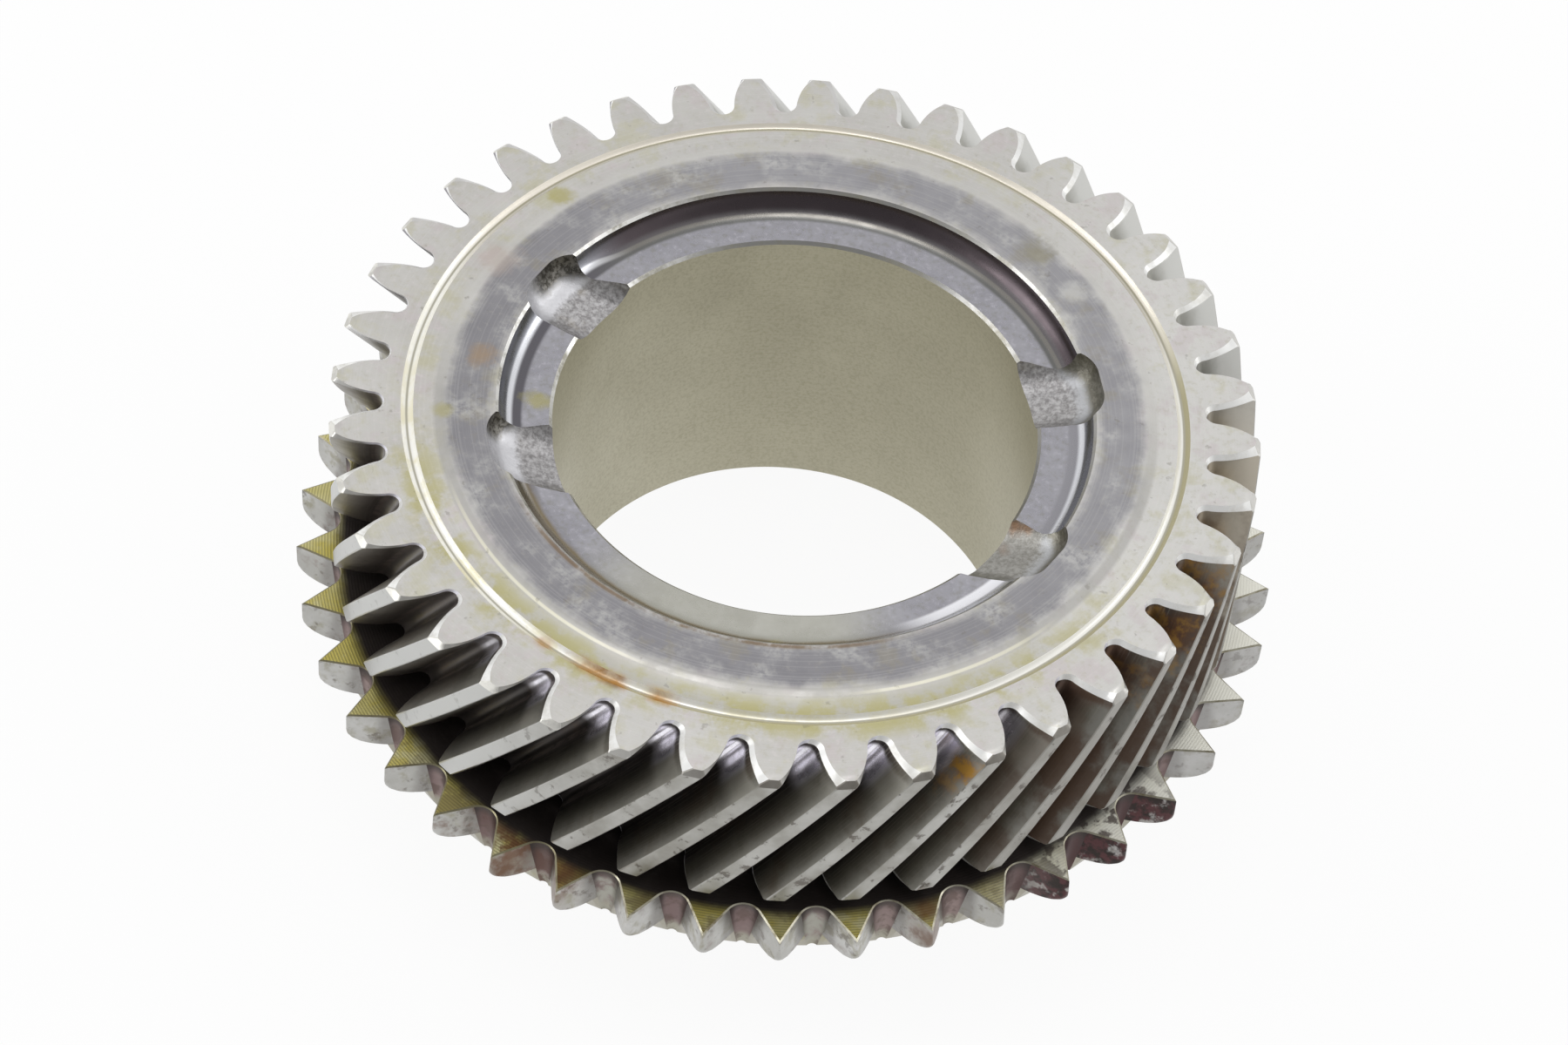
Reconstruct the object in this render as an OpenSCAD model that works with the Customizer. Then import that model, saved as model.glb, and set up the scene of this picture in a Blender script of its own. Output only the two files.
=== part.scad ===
// Speed gear of a manual gearbox: a helical gear on a plain bearing bore,
// with a toothed synchroniser ring pressed on its hub below the teeth.
// Millimetres, axis along Z, hub end at the bottom.

/* [Helical teeth] */
// number of helical teeth
teeth = 40; // [36:1:44]
// module across the teeth
normal_module = 1.95; // [1.8:0.05:2.1]
// lean of the teeth at the reference circle, right-handed
helix_deg = 33.5; // [28:0.5:36]
// pressure angle across the teeth
pressure_deg = 14.5; // [13:0.5:17]
// height of a tooth above the reference circle
addendum = 2.9; // [2.4:0.1:3.2]
// whole depth of a tooth space
tooth_depth = 5.65; // [5:0.05:6]
// width of the land left on a tooth tip
tip_land = 2; // [1.6:0.1:2.4]
// width of the toothed face
face_w = 20.8; // [14:0.2:28]
// chamfer turned on the tooth tips
tip_chamfer = 0.6; // [0.3:0.1:1]
// chamfer along the tooth ends
edge_chamfer = 0.35; // [0.2:0.05:0.6]

/* [Gear body] */
// bore for the needle bearing
bore_d = 52; // [44:1:54]
// chamfer at both ends of the bore
bore_chamfer = 0.35; // [0.2:0.05:0.8]
// wall of the hub round the bore
hub_wall = 5.5; // [4:0.5:7]
// how far the chamfered hub end stands out of the ring
hub_proud = 0.5; // [0.2:0.1:1]
// flat rim between the tooth roots and the turned groove
rim_w = 2; // [1.5:0.1:3]
// width of the turned groove in the end face
groove_w = 1.2; // [1:0.1:1.6]
// depth of the turned groove
groove_depth = 0.45; // [0.2:0.05:0.5]
// band between the groove and the thrust land
band_w = 2.4; // [1.5:0.1:3.5]
// height of the thrust land above the tooth ends
land_h = 0.2; // [0.1:0.05:0.4]
// step from the tooth roots in to the boss that seats the ring
boss_setback = 4; // [3:0.5:6]
// free gap between the helical teeth and the ring
tooth_gap = 1.4; // [1:0.1:2.5]

/* [Counterbore and oil notches] */
// width of the counterbore from bore to wall
cbore_w = 5.8; // [4.5:0.1:6.5]
// depth of the counterbore below the thrust land
cbore_depth = 2.5; // [2.2:0.1:2.8]
// radius of the hollow that forms the wall and corner of the counterbore
cbore_fillet = 3; // [2.8:0.1:3.4]
// chamfer on the rim of the counterbore
cbore_chamfer = 0.25; // [0.1:0.05:0.4]
// angles of the outer ends of the oil notches round the axis
notch_degs = [-28.7, 16.3, 154.8, 199];
// turn of a notch off the radial line, to one side and the other in turn
notch_turn_deg = 15; // [0:1:20]
// width of an oil notch
notch_w = 10; // [8.5:0.5:13]
// how far a notch cuts past the counterbore wall
notch_overrun = 1.4; // [0.8:0.1:2]
// radius along the edges of a notch floor
notch_r = 3.6; // [2.8:0.1:4]
// depth of a notch floor below the shoulder at the bore
notch_depth = 2.1; // [1.4:0.1:2.6]
// fall of a notch floor towards the bore
notch_fall_deg = 18; // [12:1:24]

/* [Dog teeth] */
// number of dog teeth
dog_teeth = 42; // [38:1:46]
// diameter over the dog teeth
dog_tip_d = 107.2; // [104:0.2:112]
// depth of the gaps between dog teeth
dog_depth = 4.65; // [4.2:0.05:5]
// half angle of a dog tooth in plan
dog_half_deg = 29.5; // [26:0.5:34]
// taper that thins a dog tooth towards the gear
dog_taper_deg = 5.5; // [4:0.5:7]
// radius in the corners of a dog gap's root
dog_root_r = 0.6; // [0.4:0.1:0.8]
// turn of the dog teeth against the helical teeth
dog_turn_deg = 2.5; // [-4:0.1:4]
// height of a dog tooth at its tip
dog_land_h = 3.25; // [2.5:0.25:3.75]
// slope of the underside of a dog tooth
dog_under_deg = 32; // [20:1:40]
// width of the sloped underside
dog_under_w = 1.9; // [1.2:0.1:2.2]

/* [Ring and cone] */
// height of the toothed rim of the ring
rim_h = 6.8; // [6.2:0.2:9]
// slope of the rim wall below the dog teeth
rim_wall_deg = 19; // [10:1:24]
// step from the dog gaps out to the foot of the rim wall
rim_step = 0.25; // [0.1:0.05:0.5]
// large diameter of the friction cone
cone_d = 77; // [72:0.5:82]
// half angle of the friction cone
cone_deg = 6.5; // [5:0.5:8]
// length of the friction cone
cone_len = 11.9; // [8:0.1:14]
// radius of the relief turned at the root of the cone
cone_relief = 0.8; // [0.5:0.1:1.2]
// chamfer at the small end of the cone
cone_chamfer = 0.8; // [0.4:0.1:1.5]

/* [Hidden] */
$fn = 96;
over = 0.4;
end_over = 0.1;
flat_step = 0.05;
ref_r = normal_module*teeth/cos(helix_deg)/2;
tip_r = ref_r + addendum;
root_r = tip_r - tooth_depth;
base_r = ref_r*cos(atan(tan(pressure_deg)/cos(helix_deg)));
twist_per_mm = tan(helix_deg)/ref_r*180/PI;
bore_r = bore_d/2;
hub_r = bore_r + hub_wall;
boss_r = root_r - boss_setback;
groove_out_r = root_r - rim_w;
groove_arc_r = (groove_w*groove_w/4 + groove_depth*groove_depth)/(2*groove_depth);
land_r = groove_out_r - groove_w - band_w;
cbore_r = bore_r + cbore_w;
corner_r = cbore_r - sqrt(cbore_depth*(2*cbore_fillet - cbore_depth));
dog_tip_r = dog_tip_d/2;
dog_gap_r = dog_tip_r - dog_depth;
cone_r = cone_d/2;
cone_end_r = cone_r - cone_len*tan(cone_deg);
z_cone_end = hub_proud;
z_rim = z_cone_end + cone_len;
z_ring_top = z_rim + rim_h;
z_teeth = z_ring_top + tooth_gap;
z_face = z_teeth + face_w;
z_land = z_face + land_h;
z_shoulder = z_land - cbore_depth;

// involute function of an angle, in radians
function inv(a) = tan(a) - a*PI/180;
// pressure angle at radius r
function angle_at(r) = acos(min(1, base_r/r));
// half of a tooth's thickness at radius r, in degrees round the axis
function tooth_half(r) =
    (tip_land/(2*tip_r) + inv(angle_at(tip_r)) - inv(angle_at(r)))*180/PI;
// half of a tooth space at radius r, in degrees round the axis
function space_half(r) = 180/teeth - tooth_half(r);

// the root of a space is a full round between the flanks
guess_r = root_r + tooth_depth/5;
round_r = guess_r*sin(space_half(guess_r));
round_mid = root_r + round_r;
flank_rs = [tip_r + over, tip_r - tooth_depth*0.33, tip_r - tooth_depth*0.6];
round_degs = [0, 40, 75];
// one side of a space, from outside the tips in to the root, widened by grow
function side(grow) = concat(
    [for (r = flank_rs) [r*cos(space_half(r)), r*sin(space_half(r)) + grow]],
    [for (t = round_degs) [round_mid - (round_r + grow)*sin(t), (round_r + grow)*cos(t)]]);
// the whole outline of a space, in along one side and out along the other
function outline(grow) = let (s = side(grow)) concat(
    [for (p = s) [p[0], -p[1]]],
    [for (i = [len(s) - 1:-1:0]) s[i]]);

// cutter for all helical tooth spaces, flared at both ends for the edge chamfer
module tooth_spaces() {
    steps = 4;
    flare = edge_chamfer + end_over;
    z0 = z_teeth + edge_chamfer;
    z1 = z_face - edge_chamfer;
    levels = concat(
        [[z_teeth - end_over, flare]],
        [for (i = [0:steps]) [z0 + (z1 - z0)*i/steps, 0]],
        [[z_face + end_over, flare]]);
    n = len(outline(0));
    top = (len(levels) - 1)*n;
    each_space = len(levels)*n;
    points = [for (k = [0:teeth - 1]) for (l = levels) for (p = outline(l[1]))
        let (a = k*360/teeth + (l[0] - z_face)*twist_per_mm)
            [p[0]*cos(a) - p[1]*sin(a), p[0]*sin(a) + p[1]*cos(a), l[0]]];
    walls = [for (i = [0:len(levels) - 2]) for (j = [0:n - 1])
        let (a = i*n + j, b = i*n + (j + 1)%n) each [[a, b, a + n], [b, b + n, a + n]]];
    ends = [for (j = [0:n/2 - 2]) let (b = j + 1, c = n - 2 - j, d = n - 1 - j)
        each [[j, c, b], [j, d, c], [top + j, top + b, top + c], [top + j, top + c, top + d]]];
    polyhedron(points, [for (k = [0:teeth - 1]) for (f = concat(walls, ends))
        [for (i = f) i + k*each_space]]);
}

// section of the counterbore with its hollow wall and chamfered edges
module counterbore_profile() {
    translate([0, z_shoulder])
        square([corner_r, cbore_depth + over]);
    translate([corner_r, z_shoulder + cbore_fillet])
        circle(cbore_fillet);
    polygon([
        [0, z_land - cbore_chamfer - over],
        [cbore_r - over, z_land - cbore_chamfer - over],
        [cbore_r + cbore_chamfer + over, z_land + over],
        [0, z_land + over]]);
    polygon([
        [0, z_shoulder - bore_chamfer],
        [bore_r, z_shoulder - bore_chamfer],
        [bore_r + bore_chamfer + over, z_shoulder + over],
        [0, z_shoulder + over]]);
}

// turned section of the gear: hub, boss, toothed rim and thrust land
module gear_profile() {
    difference() {
        polygon([
            [bore_r, bore_chamfer],
            [bore_r + bore_chamfer, 0],
            [hub_r - hub_proud, 0],
            [hub_r, hub_proud],
            [hub_r, z_ring_top],
            [boss_r, z_ring_top],
            [boss_r, z_teeth],
            [tip_r - tip_chamfer, z_teeth],
            [tip_r, z_teeth + tip_chamfer],
            [tip_r, z_face - tip_chamfer],
            [tip_r - tip_chamfer, z_face],
            [land_r, z_face],
            [land_r - land_h, z_land],
            [bore_r, z_land]]);
        translate([groove_out_r - groove_w/2, z_face + groove_arc_r - groove_depth])
            circle(groove_arc_r);
        counterbore_profile();
    }
}

// cutter for one oil notch: a round-edged trough that falls towards the bore, turned off the radial line
module oil_notch(turn) {
    half = notch_w/2 - notch_r;
    reach = cbore_r + notch_overrun - notch_r;
    drop = (reach - bore_r)*tan(notch_fall_deg) + notch_r/cos(notch_fall_deg);
    run = (reach - bore_r)/cos(notch_fall_deg)/cos(turn) + 2*notch_r;
    across = [0, 1, 0];
    inward = [-cos(notch_fall_deg)*cos(turn), cos(notch_fall_deg)*sin(turn), -sin(notch_fall_deg)];
    up = cross(across, inward)/norm(cross(across, inward));
    translate([reach, 0, z_shoulder - notch_depth + drop]) {
        for (y = [-half, half]) translate([0, y, 0]) {
            sphere(notch_r);
            rotate([0, 0, -turn]) rotate([0, -90 - notch_fall_deg, 0])
                cylinder(r = notch_r, h = run);
        }
        rotate([90, 0, 0])
            cylinder(r = notch_r, h = 2*half, center = true);
        polyhedron(
            [for (h = [-notch_r, notch_r]) for (l = [0, run]) for (y = [-half, half])
                h*up + l*inward + y*across],
            [[0, 1, 3, 2], [4, 6, 7, 5], [0, 4, 5, 1], [2, 3, 7, 6], [0, 2, 6, 4], [1, 5, 7, 3]]);
    }
}

module helical_gear() {
    color("silver")
        difference() {
            rotate_extrude() gear_profile();
            for (i = [0:len(notch_degs) - 1])
                rotate(notch_degs[i]) oil_notch(i%2 == 0 ? -notch_turn_deg : notch_turn_deg);
            tooth_spaces();
        }
}

// section of the ring: cone, rim and the sloped underside of the dog teeth
module ring_profile() {
    z_tip = z_ring_top - dog_land_h;
    z_under = z_tip - dog_under_w*tan(dog_under_deg);
    foot_r = dog_gap_r + rim_step;
    difference() {
        polygon([
            [hub_r, z_cone_end],
            [cone_end_r - cone_chamfer, z_cone_end],
            [cone_end_r + cone_chamfer*tan(cone_deg), z_cone_end + cone_chamfer],
            [cone_r, z_rim],
            [foot_r, z_rim],
            [foot_r + (z_under - z_rim)*tan(rim_wall_deg), z_under],
            [dog_tip_r - dog_under_w, z_under],
            [dog_tip_r, z_tip],
            [dog_tip_r, z_ring_top],
            [hub_r, z_ring_top]]);
        translate([cone_r, z_rim]) circle(cone_relief);
    }
}

// plan of a dog gap: a round root that opens outwards along the flanks
module dog_gap_plan() {
    open_deg = dog_half_deg + 180/dog_teeth;
    x0 = dog_root_r*(1 - sin(open_deg));
    y0 = dog_root_r*cos(open_deg);
    x1 = dog_depth + 2;
    y1 = y0 + (x1 - x0)*tan(open_deg);
    translate([dog_root_r, 0]) circle(dog_root_r);
    polygon([[x0, -y0], [x1, -y1], [x1, y1], [x0, y0]]);
}

// cutter for one dog gap: two leaning prisms and the flat between their roots
module dog_gap() {
    z_foot = z_rim - over;
    z_end = z_ring_top + over;
    half = (z_end - z_foot)*tan(dog_taper_deg);
    for (lean = [-dog_taper_deg, dog_taper_deg])
        translate([dog_gap_r, 0, z_foot])
            rotate([lean, 0, 0])
                translate([0, 0, -1])
                    linear_extrude(rim_h + 3) dog_gap_plan();
    translate([dog_gap_r + flat_step, 0, 0])
        rotate([90, 0, 90])
            linear_extrude(dog_depth) polygon([[0, z_foot], [half, z_end], [-half, z_end]]);
}

module dog_ring() {
    color("darkkhaki")
        difference() {
            rotate_extrude() ring_profile();
            for (i = [0:dog_teeth - 1])
                rotate(dog_turn_deg + (i + 0.5)*360/dog_teeth) dog_gap();
        }
}

helical_gear();
dog_ring();
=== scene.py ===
import math
import bmesh
import bpy
from mathutils import Matrix, Vector


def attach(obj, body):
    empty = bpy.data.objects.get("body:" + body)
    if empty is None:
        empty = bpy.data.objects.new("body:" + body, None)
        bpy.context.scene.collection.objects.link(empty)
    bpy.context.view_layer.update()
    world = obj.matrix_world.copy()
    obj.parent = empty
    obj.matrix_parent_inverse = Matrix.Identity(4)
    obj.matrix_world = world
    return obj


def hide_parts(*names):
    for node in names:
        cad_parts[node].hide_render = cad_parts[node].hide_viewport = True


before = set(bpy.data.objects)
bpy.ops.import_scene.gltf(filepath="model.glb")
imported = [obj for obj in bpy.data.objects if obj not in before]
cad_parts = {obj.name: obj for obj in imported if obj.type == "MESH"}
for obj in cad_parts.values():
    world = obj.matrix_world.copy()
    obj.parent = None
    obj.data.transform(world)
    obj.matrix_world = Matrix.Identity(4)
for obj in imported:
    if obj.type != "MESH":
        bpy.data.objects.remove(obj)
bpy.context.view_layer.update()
mm = 0.001
print("frame loaded:", sorted(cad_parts))


# node helpers: a value is either a number, a colour or an output socket, and new nodes join the socket's tree
def isSocket(value):
    return isinstance(value, bpy.types.NodeSocket)


def newNode(kind, *values):
    return next(value for value in values if isSocket(value)).id_data.nodes.new(kind)


def feed(socket, value):
    if isSocket(value):
        socket.id_data.links.new(value, socket)
    else:
        socket.default_value = value


def calc(operation, a, b=0.0):
    node = newNode("ShaderNodeMath", a, b)
    node.operation = operation
    feed(node.inputs[0], a)
    feed(node.inputs[1], b)
    return node.outputs[0]


def times(first, *more):
    for value in more:
        first = calc("MULTIPLY", first, value)
    return first


def ramp(value, low, high, start=0.0, end=1.0):  # smooth step from low to high
    node = newNode("ShaderNodeMapRange", value)
    node.interpolation_type = "SMOOTHSTEP"
    feed(node.inputs["Value"], value)
    for name, number in zip(("From Min", "From Max", "To Min", "To Max"), (low, high, start, end)):
        node.inputs[name].default_value = number
    return node.outputs["Result"]


def blendColour(factor, a, b):
    node = newNode("ShaderNodeMix", factor)
    node.data_type = "RGBA"
    feed(node.inputs["Factor"], factor)
    for socket, value in ((node.inputs[6], a), (node.inputs[7], b)):
        feed(socket, value if isSocket(value) else (*value, 1.0))
    return node.outputs[2]


def coat(base, tone, *shares):  # a tone over a base colour, as thick as its shares multiply to
    return blendColour(times(*shares), base, tone)


def lines(along, scale, detail=3.0):  # streaks that change along one length only
    node = newNode("ShaderNodeTexNoise", along)
    node.noise_dimensions = "1D"
    feed(node.inputs["W"], along)
    node.inputs["Scale"].default_value = scale
    node.inputs["Detail"].default_value = detail
    return node.outputs[0]


def between(rough, low, high):  # from low to high with a noise
    return ramp(rough, 0.3, 0.7, low, high)


def within(value, a, b, c, d):  # 1 between b and c, fading out to a and d
    return times(ramp(value, a, b), ramp(value, d, c))


def apart(a, b):
    return calc("ABSOLUTE", calc("SUBTRACT", a, b))


def roughen(value, rough, by):  # shifts a value up and down with a noise
    return calc("ADD", value, times(calc("SUBTRACT", rough, 0.5), by))


def place(name, data):  # a new object in the scene
    piece = bpy.data.objects.new(name, data)
    bpy.context.scene.collection.objects.link(piece)
    return piece


def turn(radius, degrees, z):  # a point in millimetres from its radius, bearing and height
    a = math.radians(degrees)
    return (radius*math.cos(a), radius*math.sin(a), z)


class Look:  # a steel finish: its colour so far and the coordinates that most finishes need
    def __init__(self, name, metallic):
        self.material = bpy.data.materials.new(name)
        self.material.use_nodes = True
        self.tree = self.material.node_tree
        self.shader = self.tree.nodes["Principled BSDF"]
        self.shader.inputs["Metallic"].default_value = metallic
        self.point = self.tree.nodes.new("ShaderNodeTexCoord").outputs["Object"]
        parts = self.tree.nodes.new("ShaderNodeSeparateXYZ")
        self.tree.links.new(self.point, parts.inputs[0])
        self.x, self.y, self.z = parts.outputs
        square = calc("ADD", times(self.x, self.x), times(self.y, self.y))
        self.radius = times(calc("SQRT", square), 1/mm)
        self.height = times(self.z, 1/mm)
        self.colour = None
        self.heights = []

    def noise(self, scale, detail=4.0, roughness=0.55):
        node = self.tree.nodes.new("ShaderNodeTexNoise")
        self.tree.links.new(self.point, node.inputs["Vector"])
        for name, number in zip(("Scale", "Detail", "Roughness"), (scale, detail, roughness)):
            node.inputs[name].default_value = number
        return node.outputs[0]

    def sector(self, degrees, reach, soft):  # 1 within reach of a bearing round the axis, in degrees
        bearing = math.radians(degrees)
        ahead = calc("ADD", times(self.x, math.cos(bearing)), times(self.y, math.sin(bearing)))
        share = calc("DIVIDE", times(ahead, 1/mm), self.radius)
        return ramp(share, math.cos(math.radians(reach + soft)), math.cos(math.radians(reach - soft)))

    def base(self, factor, a, b):  # the first coat, between two tones
        self.colour = blendColour(factor, a, b)

    def paint(self, tone, *shares):  # one more coat
        self.colour = coat(self.colour, tone, *shares)

    # ragged blots: each place is a bearing, a radius, a height and a reach in millimetres, and a strength
    def blots(self, tone, places, rough, *shares, out=0.0, down=0.0, wider=0.0):
        for degrees, radius, height, reach, strength in places:
            away = self.tree.nodes.new("ShaderNodeVectorMath")
            away.operation = "DISTANCE"
            self.tree.links.new(self.point, away.inputs[0])
            away.inputs[1].default_value = [c*mm for c in turn(radius + out, degrees, height - down)]
            near = times(away.outputs["Value"], 1/((reach + wider)*mm))
            blot = ramp(roughen(near, rough, 3.0), 1.25, 0.15)
            self.paint(tone, blot, *shares, strength)

    def bump(self, value, depth):  # depth in millimetres
        self.heights.append(times(value, depth*mm))

    def done(self, roughness):
        feed(self.shader.inputs["Base Color"], self.colour)
        feed(self.shader.inputs["Roughness"], roughness)
        if self.heights:
            total = self.heights[0]
            for more in self.heights[1:]:
                total = calc("ADD", total, more)
            node = self.tree.nodes.new("ShaderNodeBump")
            node.inputs["Strength"].default_value = 1.0
            node.inputs["Distance"].default_value = 1.0
            self.tree.links.new(total, node.inputs["Height"])
            self.tree.links.new(node.outputs["Normal"], self.shader.inputs["Normal"])
        return self.material


oilYellow = (0.44, 0.40, 0.13)
sharpDegrees = 24  # edges that bend more than this stay crisp


# turned end face: pale rim and band, grey-violet thrust land, yellowed oil film
def endFaceSteel(size):
    look = Look("endFaceSteel", 0.85)
    broad = look.noise(90, 5, 0.6)
    tint = look.noise(210, 4, 0.65)
    grain = look.noise(1300, 4, 0.65)
    fine = look.noise(900, 3)
    mottled = look.noise(330, 5, 0.65)
    scuffed = look.noise(240, 3, 0.5)
    turned = lines(look.radius, 4.0)
    left = ramp(calc("ADD", times(look.x, 0.8), look.y), 0.03, -0.02)
    pale = blendColour(broad, (0.49, 0.475, 0.445), (0.66, 0.65, 0.63))
    # painted light: the pale face is lighter on the right
    pale = coat(pale, (0.73, 0.725, 0.70), ramp(look.x, 0.015, 0.04), 0.5)
    pale = coat(pale, (0.53, 0.51, 0.36), ramp(tint, 0.52, 0.66), 0.55)
    pale = coat(pale, (0.57, 0.50, 0.515), ramp(tint, 0.47, 0.34), 0.45)
    pale = coat(pale, (0.47, 0.45, 0.36), ramp(grain, 0.52, 0.68), 0.35)
    pale = coat(pale, (0.71, 0.665, 0.665), ramp(grain, 0.46, 0.32), 0.3)
    violet = blendColour(mottled, (0.26, 0.255, 0.275), (0.41, 0.405, 0.42))
    # painted shade: the land is darker at the front and left
    violet = coat(violet, (0.20, 0.195, 0.21), left, 0.5)
    violet = coat(violet, (0.31, 0.285, 0.225), ramp(tint, 0.53, 0.68), 0.5)
    violet = coat(violet, (0.40, 0.385, 0.36), ramp(grain, 0.54, 0.7), 0.3)
    ragged = calc("ADD", look.radius, times(calc("SUBTRACT", calc("ADD", mottled, broad), 1.0), 2.4))
    look.base(within(ragged, *size["landFade"]), pale, violet)
    look.paint((0.64, 0.635, 0.61), ramp(scuffed, 0.46, 0.74), ramp(grain, 0.3, 0.6), 0.5)
    look.paint((0.78, 0.77, 0.74), ramp(turned, 0.45, 0.75), 0.1)
    # painted shade: the band is darker at the front
    look.paint((0.45, 0.44, 0.385), within(look.radius, *size["bandFade"]), look.sector(-90, 42, 14), 0.7)
    # oil film gathers beside the groove, more on the left and front
    away = apart(look.radius, size["grooveR"])
    film = ramp(calc("ADD", times(mottled, 0.5), times(tint, 0.5)), 0.44, 0.58)
    film = times(film, ramp(away, 3.6, 0.8), left)
    look.paint(oilYellow, film, ramp(look.y, -0.004, -0.022, 0.15, 0.65))
    # sloped edge of the land, painted darker at the front and lighter at the back, with a painted highlight line at
    # the front
    slope = blendColour(ramp(look.y, -0.01, 0.012), (0.40, 0.39, 0.37), (0.64, 0.63, 0.60))
    look.paint(slope, ramp(apart(look.radius, size["landEdge"]), 0.8, 0.3), 0.6)
    line = ramp(apart(look.radius, size["landLine"]), 0.26, 0.08)
    lit = calc("MAXIMUM", look.sector(-130, 17, 10), look.sector(-57, 12, 8))
    look.paint((0.88, 0.85, 0.68), line, lit, 0.6)
    # brown line along the rim of the counterbore at the front
    rim = ramp(apart(look.radius, size["cboreRim"]), 0.45, 0.05)
    look.paint((0.20, 0.13, 0.06), rim, look.sector(-105, 38, 10), ramp(mottled, 0.36, 0.58), 0.75)
    look.paint((0.20, 0.18, 0.15), ramp(fine, 0.66, 0.74), 0.35)
    rust = blendColour(ramp(tint, 0.45, 0.6), (0.46, 0.27, 0.05), (0.23, 0.11, 0.03))
    look.blots(rust, size["rustSpots"], mottled, ramp(away, 1.5, 0.4))
    for stain, *spot in size["landSpots"]:
        look.blots(stain, [spot], mottled)
    look.bump(turned, 0.004)
    look.bump(fine, 0.006)
    return look.done(between(mottled, 0.34, 0.5))


# bright turned or rubbed edges, one tone on the left and one on the right; on the gear the left tone is a painted
# highlight, and backShade paints shade at the back left
def edgeSteel(name, metallic, right, left, stained, backShade=0.0):
    look = Look(name, metallic)
    dull = look.noise(420, 5, 0.65)
    look.base(ramp(look.x, -0.008, -0.022), right, left)
    look.paint(stained, ramp(dull, 0.42, 0.7))
    # painted shade at the back left
    look.paint((0.52, 0.51, 0.50), look.sector(128, 42, 12), backShade)
    look.bump(look.noise(1500, 2), 0.005)
    return look.done(between(dull, 0.28, 0.45))


# turned chamfer at the tooth tips: a painted highlight on the left, painted shade at the front
def tipEdgeSteel():
    look = Look("tipEdgeSteel", 0.6)
    dull = look.noise(520, 4, 0.6)
    look.base(dull, (0.50, 0.49, 0.46), (0.70, 0.69, 0.66))
    shine = blendColour(ramp(dull, 0.4, 0.6), (0.80, 0.79, 0.74), (0.60, 0.59, 0.55))
    look.paint(shine, ramp(look.x, -0.01, -0.022))
    front = blendColour(dull, (0.14, 0.125, 0.10), (0.38, 0.36, 0.33))
    look.paint(front, look.sector(-70, 26, 8))
    look.bump(dull, 0.01)
    return look.done(0.4)


# keen edge of the tooth ends: grey under a painted highlight line at the back left;
# at the front only its inner end catches light, painted there as a highlight
def keenEdgeSteel(size):
    look = Look("keenEdgeSteel", 0.3)
    dull = look.noise(520, 4, 0.6)
    look.base(dull, (0.62, 0.615, 0.60), (0.80, 0.795, 0.78))
    inner = ramp(look.radius, size["rootR"] + 2.6, size["rootR"] + 1.2)
    front = blendColour(inner, (0.40, 0.39, 0.365), (0.86, 0.85, 0.92))
    look.paint(front, ramp(look.y, 0.004, -0.012))
    # painted highlight line along the top of the edge
    line = ramp(look.height, size["zFace"] - 0.2, size["zFace"] - 0.1)
    strip = blendColour(line, (0.31, 0.30, 0.32), (0.93, 0.93, 0.92))
    look.paint(strip, look.sector(128, 44, 10))
    look.bump(dull, 0.006)
    return look.done(0.42)


# groove: painted highlights on the inner wall and, on the left and back, on the outer wall, creamy at the back and
# yellowed elsewhere
def grooveSteel(size):
    look = Look("grooveSteel", 0.4)
    dull = look.noise(260, 5, 0.6)
    back = ramp(look.y, 0.008, 0.026)
    left = calc("MAXIMUM", ramp(look.x, -0.014, -0.03), back)
    oily = times(ramp(dull, 0.42, 0.62), ramp(look.y, 0.02, -0.02), ramp(look.x, 0.026, 0.005))
    bright = blendColour(times(back, 0.75), (0.97, 0.96, 0.91), (0.90, 0.83, 0.71))
    bright = coat(bright, (0.76, 0.70, 0.42), oily, 0.6)
    yellowed = blendColour(left, (0.42, 0.385, 0.24), bright)
    inner = ramp(look.radius, size["grooveR"] + 0.02, size["grooveR"] - 0.16)
    outer = ramp(look.radius, size["grooveR"] + 0.08, size["grooveR"] + 0.26)
    look.base(back, (0.44, 0.42, 0.34), (0.36, 0.335, 0.24))
    # painted highlights on the groove walls
    look.paint(blendColour(back, bright, (0.55, 0.53, 0.47)), inner)
    look.paint(yellowed, outer)
    look.blots((0.46, 0.24, 0.06), size["rustSpots"], dull)
    return look.done(between(dull, 0.3, 0.45))
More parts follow.
